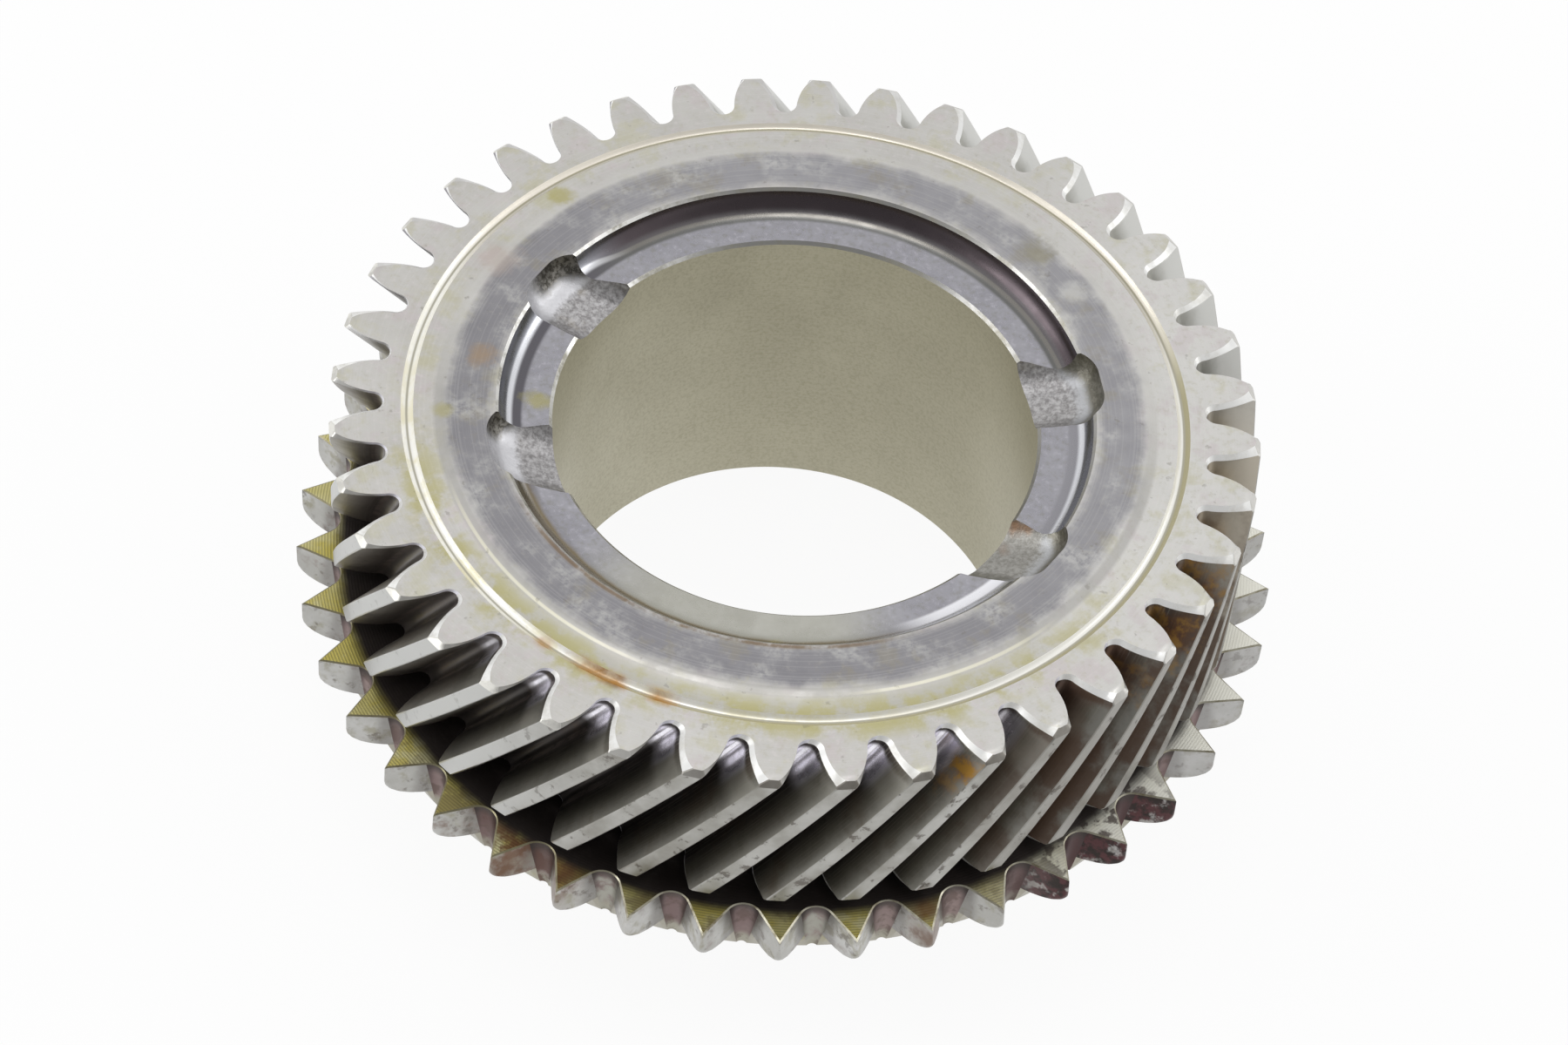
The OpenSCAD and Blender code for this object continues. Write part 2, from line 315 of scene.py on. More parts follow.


# counterbore: polished hollow with painted reflections, dark at the back with a painted highlight line at its foot,
# grey-violet shoulder, beige at the front
def shoulderSteel(size):
    look = Look("shoulderSteel", 0.92)
    mottled = look.noise(300, 5, 0.6)
    turned = lines(look.radius, 7.0)
    rise = calc("SUBTRACT", look.height, size["zShoulder"])
    back = look.sector(78, 63, 8)
    front = look.sector(-110, 44, 11)
    grain = look.noise(1300, 4, 0.65)
    shoulder = blendColour(mottled, (0.285, 0.28, 0.315), (0.44, 0.435, 0.465))
    shoulder = coat(shoulder, (0.25, 0.245, 0.21), ramp(grain, 0.5, 0.68), 0.4)
    shoulder = coat(shoulder, (0.56, 0.545, 0.60), ramp(grain, 0.46, 0.32), 0.35)
    # painted reflections in the polished hollow: darker on the left and at the back
    foot = blendColour(ramp(look.x, 0.0, 0.016), (0.13, 0.125, 0.14), (0.31, 0.305, 0.33))
    foot = coat(foot, (0.15, 0.15, 0.145), back)
    # painted reflections: the hollow's upper wall is dark at the back and grey-blue elsewhere
    wall = blendColour(ramp(rise, 0.4, 0.75), (0.14, 0.13, 0.135), (0.095, 0.078, 0.085))
    wall = blendColour(back, (0.25, 0.255, 0.28), wall)
    # painted highlight line in the hollow, white except at the back
    middle = ramp(back, 0, 1, 0.62, 0.24)
    reach = ramp(back, 0, 1, 0.24, 0.1)
    above = calc("SUBTRACT", rise, middle)
    line = ramp(calc("DIVIDE", calc("ABSOLUTE", above), reach), 1.4, 0.4)
    look.base(ramp(rise, 0.0, 0.07), shoulder, foot)
    look.paint(wall, ramp(above, 0.0, 0.12))
    look.paint(blendColour(back, (0.76, 0.77, 0.81), (0.21, 0.20, 0.185)), line)
    beige = blendColour(mottled, (0.40, 0.395, 0.33), (0.56, 0.555, 0.50))
    beige = blendColour(look.sector(-94, 28, 14), shoulder, beige)
    beige = coat(beige, (0.27, 0.215, 0.12), ramp(calc("ADD", rise, times(mottled, 0.3)), 0.2, 0.5))
    look.paint(beige, front, 0.85)
    # painted reflection: a white streak on the shoulder at the front right
    reflectionStreak = ramp(apart(look.radius, size["reflectionR"]), 0.85, 0.45)
    look.paint((0.95, 0.95, 0.99), reflectionStreak, look.sector(-43, 13, 8), 0.95)
    look.blots(oilYellow, size["shoulderSpots"], mottled)
    look.bump(turned, 0.003)
    return look.done(between(mottled, 0.22, 0.34))


# honed bore under a dry olive oil film
def boreSteel():
    look = Look("boreSteel", 0.75)
    broad = look.noise(60, 4)
    honed = lines(look.height, 9.0, 5)
    fine = look.noise(2600, 4, 0.7)
    look.base(broad, (0.45, 0.425, 0.31), (0.56, 0.535, 0.42))
    # painted light: the bore is lighter on the left
    look.paint((0.64, 0.62, 0.50), ramp(look.x, -0.005, -0.025), 0.4)
    look.paint((0.32, 0.29, 0.19), ramp(fine, 0.4, 0.68), 0.4)
    look.paint((0.60, 0.57, 0.47), ramp(honed, 0.48, 0.7), 0.3)
    look.bump(honed, 0.005)
    look.bump(fine, 0.004)
    return look.done(between(broad, 0.42, 0.55))


# tooth flanks: grey near the tips, darker into the roots with oil and painted shade, painted lighter at the back right
# and on the left, brown at the front right
def flankSteel(size):
    look = Look("flankSteel", 0.75)
    broad = look.noise(140, 5, 0.6)
    fine = look.noise(1100, 3)
    worn = look.noise(520, 4, 0.65)
    depth = times(calc("SUBTRACT", size["tipR"], look.radius), 1/(size["tipR"] - size["rootR"]))
    ragged = calc("ADD", depth, times(calc("SUBTRACT", calc("ADD", broad, worn), 1.0), 0.4))
    # painted shade with oil: darker deeper in the roots
    look.base(ramp(ragged, -0.05, 0.45), (0.30, 0.292, 0.262), (0.16, 0.148, 0.122))
    look.paint((0.052, 0.044, 0.042), ramp(ragged, 0.34, 0.84))
    ground = lines(look.radius, 3.2, 4)
    look.paint((0.33, 0.315, 0.27), ramp(ground, 0.5, 0.66), ramp(worn, 0.3, 0.6), 0.4)
    # right side: grey-beige, lightened near the tips as a painted reflection, then brown with rust
    warm = blendColour(ramp(ragged, 0.1, 0.9), (0.58, 0.53, 0.44), (0.36, 0.315, 0.245))
    look.paint(warm, look.sector(-2, 13, 6))
    look.paint((0.115, 0.065, 0.042), look.sector(-32, 24, 10), ramp(broad, 0.38, 0.55), 0.8)
    look.paint((0.13, 0.085, 0.05), ramp(broad, 0.55, 0.72), 0.4)
    # painted light: flanks are lighter on the left
    look.paint((0.26, 0.225, 0.205), look.sector(-170, 34, 16), 0.45)
    # painted reflection: a lighter streak along the root at the left
    reflectionStreak = ramp(apart(depth, 0.84), 0.1, 0.02)
    look.paint((0.34, 0.285, 0.26), reflectionStreak, look.sector(-146, 36, 10), ramp(worn, 0.35, 0.55), 0.75)
    # painted reflection: flanks at the back right are lighter
    reflectedBack = blendColour(ramp(ragged, 0.35, 0.95), (0.60, 0.60, 0.575), (0.36, 0.355, 0.32))
    look.paint(reflectedBack, look.sector(80, 66, 14))
    # pale glints where a root runs out below the end face
    top = roughen(look.height, broad, 2.0)
    end = within(top, *(size["zFace"] - low for low in size["glintLow"]))
    glint = times(end, ramp(depth, 0.42, 0.66), look.sector(-92, 36, 8), ramp(worn, 0.3, 0.6, 0.7, 1.0))
    pale = times(end, ramp(depth, 0.75, 0.35), look.sector(-86, 40, 10), ramp(broad, 0.3, 0.6))
    look.paint((0.46, 0.445, 0.395), pale, 0.5)
    look.paint((0.93, 0.91, 0.98), glint)
    feed(look.shader.inputs["Metallic"], ramp(glint, 0, 1, 0.75, 0.95))
    rust = blendColour(ramp(worn, 0.4, 0.6), (0.46, 0.25, 0.05), (0.20, 0.07, 0.025))
    look.blots(rust, size["flankSpots"], worn)
    look.bump(fine, 0.006)
    look.bump(worn, 0.012)
    return look.done(calc("SUBTRACT", between(broad, 0.3, 0.45), times(glint, 0.16)))


# ground tooth tips with dark nicks
def tipSteel():
    look = Look("tipSteel", 0.85)
    broad = look.noise(200, 4)
    specks = ramp(look.noise(620, 4, 0.6), 0.58, 0.67)
    look.base(ramp(broad, 0.3, 0.7), (0.29, 0.28, 0.25), (0.50, 0.495, 0.47))
    # painted light: tips are lighter on the left
    look.paint((0.62, 0.625, 0.61), ramp(look.x, -0.012, -0.03), 0.8)
    # painted shade: tips are darker at the front right
    look.paint((0.22, 0.205, 0.18), look.sector(-28, 26, 10), 0.45)
    look.paint((0.10, 0.085, 0.07), specks, ramp(look.x, -0.032, -0.008, 0.2, 0.75))
    look.bump(specks, -0.02)
    look.bump(lines(look.height, 6.0), 0.006)
    return look.done(between(broad, 0.32, 0.48))


# grainy forged oil notches: grey floor, a painted highlight in the hollow at the outer end under a rim with painted
# shade
def notchSteel(size):
    look = Look("notchSteel", 0.85)
    grain = look.noise(1900, 4, 0.7)
    broad = look.noise(260, 3)
    ragged = roughen(look.height, grain, 0.9)
    look.base(ramp(grain, 0.34, 0.68), (0.27, 0.26, 0.26), (0.54, 0.53, 0.535))
    look.paint((0.36, 0.30, 0.17), ramp(broad, 0.58, 0.75), 0.35)
    right = ramp(look.x, -0.01, 0.01)
    oiled = blendColour(grain, (0.16, 0.155, 0.125), (0.47, 0.46, 0.42))
    look.paint(oiled, right, ramp(look.y, 0.012, -0.008), 0.7)
    outer = ramp(look.radius, *size["notchOuter"])
    glint = blendColour(right, (0.78, 0.78, 0.81), (0.52, 0.53, 0.55))
    start = calc("SUBTRACT", ragged, times(right, 0.3))
    look.paint(glint, outer, ramp(start, *size["notchGlint"]), 0.8)
    # painted shade on the rim, painted light where the rim is lit
    rim = blendColour(ramp(grain, 0.42, 0.6), (0.075, 0.07, 0.06), (0.24, 0.23, 0.21))
    rim = coat(rim, (0.26, 0.25, 0.20), right, 0.5)
    shaded = calc("MAXIMUM", look.sector(150.5, 6, 2), look.sector(191.5, 3.5, 1.5))
    lit = blendColour(grain, (0.40, 0.40, 0.42), (0.72, 0.72, 0.745))
    rim = blendColour(calc("MAXIMUM", right, shaded), lit, rim)
    look.paint(rim, outer, ramp(ragged, *size["notchRim"]))
    look.blots((0.30, 0.17, 0.09), size["notchSpots"], broad)
    look.bump(grain, 0.06)
    return look.done(between(broad, 0.34, 0.5))


# plain turned steel of the hub and the hidden faces
def turnedSteel(name, dark, light, axis):
    look = Look(name, 0.9)
    broad = look.noise(110, 5, 0.6)
    along = look.radius if axis == "radius" else look.height
    turned = lines(along, 6.0, 4)
    look.base(broad, dark, light)
    look.paint((0.70, 0.69, 0.66), ramp(turned, 0.5, 0.8), 0.25)
    look.paint(oilYellow, ramp(broad, 0.56, 0.72), 0.35)
    look.bump(turned, 0.015)
    return look.done(between(broad, 0.3, 0.46))


# meshes are gathered as rows of points and faces with a finish number each
class Sheet:
    def __init__(self):
        self.points, self.faces, self.zones = [], [], []

    def row(self, points):
        start = len(self.points)
        self.points.extend(points)
        return range(start, len(self.points))

    def strip(self, a, b, zones):
        for i in range(len(a) - 1):
            zone = zones[i] if isinstance(zones, list) else zones
            self.faces.append((a[i], a[i + 1], b[i + 1], b[i]))
            self.zones.append(zone)

    def fill(self, loop, zone):
        self.faces.append(tuple(loop))
        self.zones.append(zone)

    def object(self, name):
        mesh = bpy.data.meshes.new(name)
        mesh.from_pydata([[c*mm for c in p] for p in self.points], [], self.faces)
        mesh.attributes.new("zone", "INT", "FACE").data.foreach_set("value", self.zones)
        return place(name, mesh)


def lathe(sheet, profile, segments):  # profile rows are radius, height and the finish up to the next row
    rings = []
    for radius, z, zone in profile:
        ring = list(sheet.row([turn(radius, 360*i/segments, z) for i in range(segments)]))
        rings.append(ring + ring[:1])
    for i in range(len(rings) - 1):
        sheet.strip(rings[i], rings[i + 1], profile[i][2])


# a row of pitches round the axis: one pitch is copied, turned, welded and given its finishes
def rowTree(name, finishes):
    tree = bpy.data.node_groups.new(name, "GeometryNodeTree")
    face = tree.interface
    face.new_socket("Geometry", in_out="INPUT", socket_type="NodeSocketGeometry")
    count = face.new_socket("Count", in_out="INPUT", socket_type="NodeSocketInt")
    body = face.new_socket("Body", in_out="INPUT", socket_type="NodeSocketObject")
    face.new_socket("Geometry", in_out="OUTPUT", socket_type="NodeSocketGeometry")
    made, link = tree.nodes.new, tree.links.new
    given = made("NodeGroupInput")
    points = made("GeometryNodePoints")
    link(given.outputs["Count"], points.inputs["Count"])
    index = made("GeometryNodeInputIndex")
    step = calc("DIVIDE", 2*math.pi, given.outputs["Count"])
    swing = made("ShaderNodeCombineXYZ")
    link(calc("MULTIPLY", index.outputs[0], step), swing.inputs["Z"])
    copies = made("GeometryNodeInstanceOnPoints")
    link(points.outputs[0], copies.inputs["Points"])
    link(given.outputs["Geometry"], copies.inputs["Instance"])
    link(swing.outputs[0], copies.inputs["Rotation"])
    lathed = made("GeometryNodeObjectInfo")
    link(given.outputs["Body"], lathed.inputs["Object"])
    joined = made("GeometryNodeJoinGeometry")
    link(lathed.outputs["Geometry"], joined.inputs[0])
    link(copies.outputs[0], joined.inputs[0])
    real = made("GeometryNodeRealizeInstances")
    link(joined.outputs[0], real.inputs[0])
    weld = made("GeometryNodeMergeByDistance")
    link(real.outputs[0], weld.inputs["Geometry"])
    weld.inputs["Distance"].default_value = 0.004*mm
    flow = weld.outputs[0]
    zone = made("GeometryNodeInputNamedAttribute")
    zone.data_type = "INT"
    zone.inputs["Name"].default_value = "zone"
    for number, material in enumerate(finishes):
        same = made("FunctionNodeCompare")
        same.data_type = "INT"
        same.operation = "EQUAL"
        ints = [s for s in same.inputs if s.type == "INT"]
        link(zone.outputs[0], ints[0])
        ints[1].default_value = number
        dress = made("GeometryNodeSetMaterial")
        dress.inputs["Material"].default_value = material
        link(flow, dress.inputs["Geometry"])
        link(same.outputs[0], dress.inputs["Selection"])
        flow = dress.outputs[0]
    out = made("NodeGroupOutput")
    link(flow, out.inputs[0])
    return tree, count.identifier, body.identifier


def makeRow(name, pitch, lathed, count, finishes):
    tree, countKey, bodyKey = rowTree(name + "Row", finishes)
    modifier = pitch.modifiers.new("row", "NODES")
    modifier.node_group = tree
    modifier[countKey] = count
    modifier[bodyKey] = lathed
    return plainMesh(name, pitch, lathed)


def plainMesh(name, source, *spent):  # the evaluated object becomes a plain mesh, its sources go
    shown = source.evaluated_get(bpy.context.evaluated_depsgraph_get())
    mesh = bpy.data.meshes.new_from_object(shown)
    for piece in (source, *spent):
        bpy.data.objects.remove(piece)
    mesh.name = name
    return place(name, mesh)


def finishMesh(piece):
    work = bmesh.new()
    work.from_mesh(piece.data)
    bmesh.ops.remove_doubles(work, verts=work.verts, dist=0.003*mm)
    bmesh.ops.dissolve_degenerate(work, edges=work.edges, dist=0.001*mm)
    bmesh.ops.triangulate(work, faces=[f for f in work.faces if len(f.verts) > 4])
    bmesh.ops.recalc_face_normals(work, faces=work.faces)
    openEdges = sum(1 for e in work.edges if len(e.link_faces) != 2)
    work.to_mesh(piece.data)
    work.free()
    piece.data.shade_smooth()
    piece.data.set_sharp_from_angle(angle=math.radians(sharpDegrees))
    tris = sum(len(p.vertices) - 2 for p in piece.data.polygons)
    print(piece.name, "triangles", tris, "open edges", openEdges)


# helical gear, all lengths in millimetres
gearSize = dict(
    teeth=40, normalModule=1.95, helix=33.5, pressure=14.5, addendum=2.9, depth=5.65, tipLand=2.0,
    zTeeth=20.6, zFace=41.4, tipChamfer=0.6, tipRub=0.1, endHigh=1.6, midRows=9,
    bluntHigh=0.42, bluntRoot=0.26, bluntTip=0.85, keenHigh=0.36, keenRoot=0.2, keenTip=0.65, flare=4,
    boreR=26.0, boreChamfer=0.35, hubR=31.5, hubProud=0.5, bossR=40.02, zRingTop=19.2, rimR=43.0,
    grooveOut=42.02, grooveWide=1.2, grooveDepth=0.45, grooveLip=0.06, grooveSteps=10,
    landR=38.42, landHigh=0.2, landMid=36.0, landSlope=((0.1, 0.0), (-0.1, 0.06), (-0.5, 0.17), (-0.8, 0.2)),
    cboreR=31.8, zShoulder=39.1, cboreDeep=2.5, cboreFillet=3.0, cboreChamfer=0.25, hollowFrom=15.5, hollowSteps=14,
    notchDegrees=(-28.7, 16.3, 154.8, 199.0), notchTurn=15.0, notchWide=10.0, notchOver=1.4, notchR=3.6,
    notchDeep=2.1, notchFall=18.0, ballRows=16, ballPoints=48, arcSteps=10,
    # radii and heights where the finishes, painted highlights and painted shade change
    landFade=(31.4, 33.2, 36.2, 38.4), bandFade=(38.2, 39.0, 40.6, 41.2), landEdge=38.05, landLine=38.3, cboreRim=32.3,
    reflectionR=29.6, glintLow=(5.2, 3.2, 1.3, 0.7), notchOuter=(29.4, 30.4), notchGlint=(38.0, 38.5),
    notchRim=(38.8, 39.6),
    # stains: bearing, radius, height, reach and strength
    rustSpots=((-113.4, 41.9, 41.4, 2.4, 1.0), (-110, 42.0, 41.4, 2.0, 1.0),
               (-102.5, 41.7, 41.4, 1.7, 1.0), (-121, 41.8, 41.4, 1.4, 0.8)),
    landSpots=(((0.42, 0.27, 0.12), 178, 34.2, 41.4, 1.9, 0.5), (oilYellow, 139, 39.4, 41.4, 1.6, 0.7),
               ((0.52, 0.43, 0.37), 156, 37.9, 41.4, 2.4, 0.45), ((0.31, 0.29, 0.21), 49, 35.4, 41.4, 2.4, 0.6),
               ((0.66, 0.655, 0.63), 38, 35.2, 41.4, 1.8, 0.6), (oilYellow, -169, 37.6, 41.4, 1.2, 0.5)),
    shoulderSpots=((-176, 27.6, 39.1, 1.5, 0.6), (-87, 30.5, 39.1, 0.9, 0.4)),
    notchSpots=((-21.5, 26.5, 38.6, 1.2, 0.8), (-20.8, 27.8, 39.0, 1.0, 0.7), (-27, 26.5, 37.6, 1.0, 0.4)),
    flankSpots=((-61.6, 48.2, 38.9, 1.7, 1.0), (-63.5, 47.4, 36.8, 1.8, 0.5), (-15, 46.8, 38.0, 4.0, 0.7),
                (-25, 46.8, 37.5, 4.0, 0.7), (-34, 46.5, 36.5, 3.5, 0.5)))


def gearBody():
    s = gearSize
    s["refR"] = s["normalModule"]*s["teeth"]/math.cos(math.radians(s["helix"]))/2
    s["tipR"] = s["refR"] + s["addendum"]
    s["rootR"] = s["tipR"] - s["depth"]
    transverse = math.atan(math.tan(math.radians(s["pressure"]))/math.cos(math.radians(s["helix"])))
    baseR = s["refR"]*math.cos(transverse)
    twist = math.degrees(math.tan(math.radians(s["helix"]))/s["refR"])  # degrees for each millimetre of height
    s["grooveR"] = s["grooveOut"] - s["grooveWide"]/2
    pitch = 360/s["teeth"]

    def involute(r):
        a = math.acos(min(1, baseR/r))
        return math.tan(a) - a

    def spaceHalf(r):  # degrees from the middle of a tooth space to its flank
        return pitch/2 - math.degrees(s["tipLand"]/(2*s["tipR"]) + involute(s["tipR"]) - involute(r))

    guess = s["rootR"] + s["depth"]/5
    roundR = guess*math.sin(math.radians(spaceHalf(guess)))
    roundMid = s["rootR"] + roundR
    flankLow = math.hypot(roundMid, roundR)*1.004
    arcTurns = [90, 78, 66, 53, 40, 26, 12]
    flankShares = [0, 0.16, 0.32, 0.48, 0.64, 0.8, 0.92, 1]
    faceZone, flankZone, tipZone, bluntZone, grooveZone, hollowZone, hubZone, boreZone = range(8)
    edgeZone, tipEdgeZone, keenZone = range(8, 11)

    def halfTooth(tip, low, high, mean):  # radius and angle from the middle of a space to the middle of a tooth
        side = []
        for a in arcTurns:
            more = mean + (low - mean)*(arcTurns[0] - a)/(arcTurns[0] - arcTurns[-1])
            x = roundMid - (roundR + more)*math.sin(math.radians(a))
            y = (roundR + more)*math.cos(math.radians(a))
            side.append((math.hypot(x, y), math.degrees(math.atan2(y, x))))
        for share in flankShares:
            r = flankLow + (tip - s["tipRub"] - flankLow)*share
            side.append((r, spaceHalf(r) + math.degrees((low + (high - low)*share**s["flare"])/r)))
        edge = spaceHalf(tip) + math.degrees((high + s["tipRub"])/tip)
        side += [(tip, edge), (tip, (edge + pitch/2)/2), (tip, pitch/2)]
        return side

    def endCut(bluntAway, keenAway):  # how far a flank is cut back at its root and at its tip near the tooth ends
        blunt, keen = max(0, 1 - bluntAway/s["bluntHigh"]), max(0, 1 - keenAway/s["keenHigh"])
        return blunt*s["bluntRoot"] + keen*s["keenRoot"], blunt*s["bluntTip"] + keen*s["keenTip"]

    tooth = Sheet()
    zLow, zTop = s["zTeeth"], s["zFace"]
    ends = [0, s["keenHigh"], s["bluntHigh"], s["tipChamfer"], s["endHigh"]]
    plain = zTop - zLow - 2*s["endHigh"]
    zs = [zLow + e for e in ends] + [zLow + s["endHigh"] + plain*i/s["midRows"] for i in range(1, s["midRows"])]
    zs += [zTop - e for e in reversed(ends)]
    tipFaces = 3
    flankFaces = len(halfTooth(s["tipR"], 0, 0, 0)) - 1 - tipFaces

    def halfZones(flank, tip):
        return [flank]*flankFaces + [tip]*tipFaces

    half = halfZones(flankZone, tipZone)
    zones = half + half[::-1]
    rows = []
    for z in zs:
        top, low = zTop - z, z - zLow
        tip = s["tipR"] - max(0, s["tipChamfer"] - top, s["tipChamfer"] - low)
        cuts = endCut(top, low), endCut(low, top)
        right, left = (halfTooth(tip, *cut, (cuts[0][0] + cuts[1][0])/2) for cut in cuts)
        swing = (z - zTop)*twist
        ring = [turn(r, a + swing, z) for r, a in right]
        ring += [turn(r, pitch - a + swing, z) for r, a in left[-2::-1]]
        rows.append(list(tooth.row(ring)))
    for i in range(len(rows) - 1):
        fromEnd = min(i, len(rows) - 2 - i)  # strips counted from the nearer end face
        used = [tipEdgeZone if zone == tipZone and fromEnd < 3 else zone for zone in zones]
        if fromEnd < 2:  # bright chamfer along the blunt edge, shorter one along the keen edge
            blunt = halfZones(bluntZone, tipEdgeZone)
            keen = halfZones(flankZone if fromEnd else keenZone, tipEdgeZone)
            used = keen + blunt[::-1] if i < 2 else blunt + keen[::-1]
        tooth.strip(rows[i], rows[i + 1], used)
    steps = s["arcSteps"]
    inner = [turn(s["rimR"], pitch*i/steps, zTop) for i in range(steps, -1, -1)]
    tooth.fill(rows[-1] + list(tooth.row(inner)), faceZone)
    start = round((zLow - zTop)*twist/(pitch/steps))*pitch/steps
    inner = [turn(s["bossR"], start + pitch*i/steps, zLow) for i in range(steps, -1, -1)]
    tooth.fill(rows[0] + list(tooth.row(inner)), hubZone)

    grooveIn = s["grooveOut"] - s["grooveWide"]
    arcR = (s["grooveWide"]**2/4 + s["grooveDepth"]**2)/(2*s["grooveDepth"])
    profile = [(s["rimR"], zTop, faceZone), (s["grooveOut"] + s["grooveLip"], zTop, grooveZone)]
    for i in range(1, s["grooveSteps"]):
        r = s["grooveOut"] - s["grooveWide"]*i/s["grooveSteps"]
        dip = math.sqrt(arcR**2 - (r - s["grooveR"])**2) - (arcR - s["grooveDepth"])
        profile.append((r, zTop - dip, grooveZone))
    profile.append((grooveIn - s["grooveLip"], zTop, faceZone))
    profile += [(s["landR"] + out, zTop + up, faceZone) for out, up in s["landSlope"]]
    zLand, zShoulder = zTop + s["landHigh"], s["zShoulder"]
    profile += [(s["landMid"], zLand, faceZone), (s["cboreR"] + s["cboreChamfer"], zLand, edgeZone)]
    hollow, deep = s["cboreFillet"], s["cboreDeep"]
    cornerR = s["cboreR"] - math.sqrt(deep*(2*hollow - deep))
    for i in range(s["hollowSteps"] + 1):  # the hollow starts where it meets the edge chamfer
        a = math.radians(s["hollowFrom"] + (90 - s["hollowFrom"])*i/s["hollowSteps"])
        profile.append((cornerR + hollow*math.cos(a), zShoulder + hollow*(1 - math.sin(a)), hollowZone))
    boreEdge = s["boreR"] + s["boreChamfer"]
    profile += [(boreEdge, zShoulder, edgeZone), (s["boreR"], zShoulder - s["boreChamfer"], boreZone),
                (s["boreR"], zShoulder/2, boreZone), (s["boreR"], s["boreChamfer"], edgeZone),
                (boreEdge, 0, hubZone), (s["hubR"] - s["hubProud"], 0, edgeZone),
                (s["hubR"], s["hubProud"], hubZone), (s["hubR"], s["zRingTop"], hubZone),
                (s["bossR"], s["zRingTop"], hubZone), (s["bossR"], zLow, hubZone)]
    lathed = Sheet()
    lathe(lathed, profile, s["teeth"]*steps)

    finishes = [
        endFaceSteel(s), flankSteel(s), tipSteel(),
        edgeSteel("toothEdgeSteel", 0.35, (0.86, 0.86, 0.845), (0.95, 0.95, 0.93), (0.70, 0.69, 0.65), 0.9),
        grooveSteel(s), shoulderSteel(s),
        turnedSteel("hubSteel", (0.30, 0.29, 0.27), (0.46, 0.45, 0.42), "height"), boreSteel(),
        edgeSteel("turnedEdgeSteel", 0.85, (0.42, 0.415, 0.40), (0.86, 0.855, 0.83), (0.36, 0.345, 0.29)),
        tipEdgeSteel(), keenEdgeSteel(s)]
    return makeRow("helicalGear", tooth.object("tooth"), lathed.object("gearLathe"), s["teeth"], finishes)


def cutNotches(gear):
    s = gearSize
    fall = math.radians(s["notchFall"])
    half = s["notchWide"]/2 - s["notchR"]
    reach = s["cboreR"] + s["notchOver"] - s["notchR"]
    high = s["zShoulder"] - s["notchDeep"] + (reach - s["boreR"])*math.tan(fall) + s["notchR"]/math.cos(fall)
    work = bmesh.new()
    for number, degrees in enumerate(s["notchDegrees"]):
        aside = math.radians(s["notchTurn"]*(1 if number % 2 else -1))
        inward = Vector((-math.cos(fall)*math.cos(aside), math.cos(fall)*math.sin(aside), -math.sin(fall)))
        run = (reach - s["boreR"])/math.cos(fall)/math.cos(aside) + 2*s["notchR"]
        placed = Matrix.Rotation(math.radians(degrees), 4, "Z") @ Matrix.Translation((reach*mm, 0, high*mm))
        made = []
        for y in (-half, half):
            for start in (0, run):
                for i in range(s["ballRows"] + 1):
                    for j in range(s["ballPoints"]):
                        a, b = math.pi*i/s["ballRows"], 2*math.pi*j/s["ballPoints"]
                        ball = Vector((math.sin(a)*math.cos(b), math.sin(a)*math.sin(b), math.cos(a)))*s["notchR"]
                        made.append(work.verts.new(placed @ ((ball + Vector((0, y, 0)) + inward*start)*mm)))
        hull = bmesh.ops.convex_hull(work, input=made, use_existing_faces=False)
        spare = [g for g in hull["geom_interior"] + hull["geom_unused"] if isinstance(g, bmesh.types.BMVert)]
        bmesh.ops.delete(work, geom=list(set(spare)), context="VERTS")
    bmesh.ops.remove_doubles(work, verts=work.verts, dist=0.01*mm)
    bmesh.ops.recalc_face_normals(work, faces=work.faces)
    mesh = bpy.data.meshes.new("notchCutter")
    work.to_mesh(mesh)
    work.free()
    mesh.materials.append(notchSteel(s))
    cutter = place("notchCutter", mesh)
    cut = gear.modifiers.new("notches", "BOOLEAN")
    cut.operation = "DIFFERENCE"
    cut.solver = "EXACT"
    cut.material_mode = "TRANSFER"
    cut.object = cutter
    return plainMesh("helicalGear", gear, cutter)


gear = cutNotches(gearBody())
finishMesh(gear)
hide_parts("helical_gear")
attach(gear, "root")
print("helical gear made")


# dog ring, all lengths in millimetres
ringSize = dict(
    teeth=42, tipR=53.6, gapR=48.95, halfAngle=29.5, taper=5.5, rootR=0.6, turnBy=2.5, pivotLow=0.4,
    landHigh=3.25, underAngle=32.0, underWide=1.9, noseRound=0.7, zTop=19.2, zRim=12.4, wallAngle=19.0, footStep=0.25,
    hubR=31.5, zEnd=0.5, coneR=38.5, coneAngle=6.5, coneLong=11.9, relief=0.8, reliefSteps=8, coneChamfer=0.8,
    edge=0.12, arcSteps=8, topInner=48.4, underInner=48.0, rootSteps=6, flankSteps=4, noseSteps=4,
    sideRows=5, rimRows=3,
    # radii, heights and bearings where the finishes and the painted shade change
    markPitch=0.32, underShadeR=(50.8, 49.1), gapFoot=(14.6, 13.2), gapShade=(18.2, 19.8), cakedHigh=(16.6, 18.2),
    maroonDegrees=-41, cakedDegrees=-114.5,
    # stains and painted highlights: bearing, radius, height, reach and strength
    rustSpots=((-65.8, 51.0, 19.2, 2.0, 0.8), (-115.5, 50.8, 19.0, 3.4, 0.95), (-120.5, 50.6, 19.0, 2.8, 0.85),
               (-110.5, 50.4, 19.0, 2.2, 0.7)),
    glintGaps=((-78.9, 49.6, 16.0, 3.0, 0.9), (-103.8, 49.6, 16.0, 3.0, 0.9)))


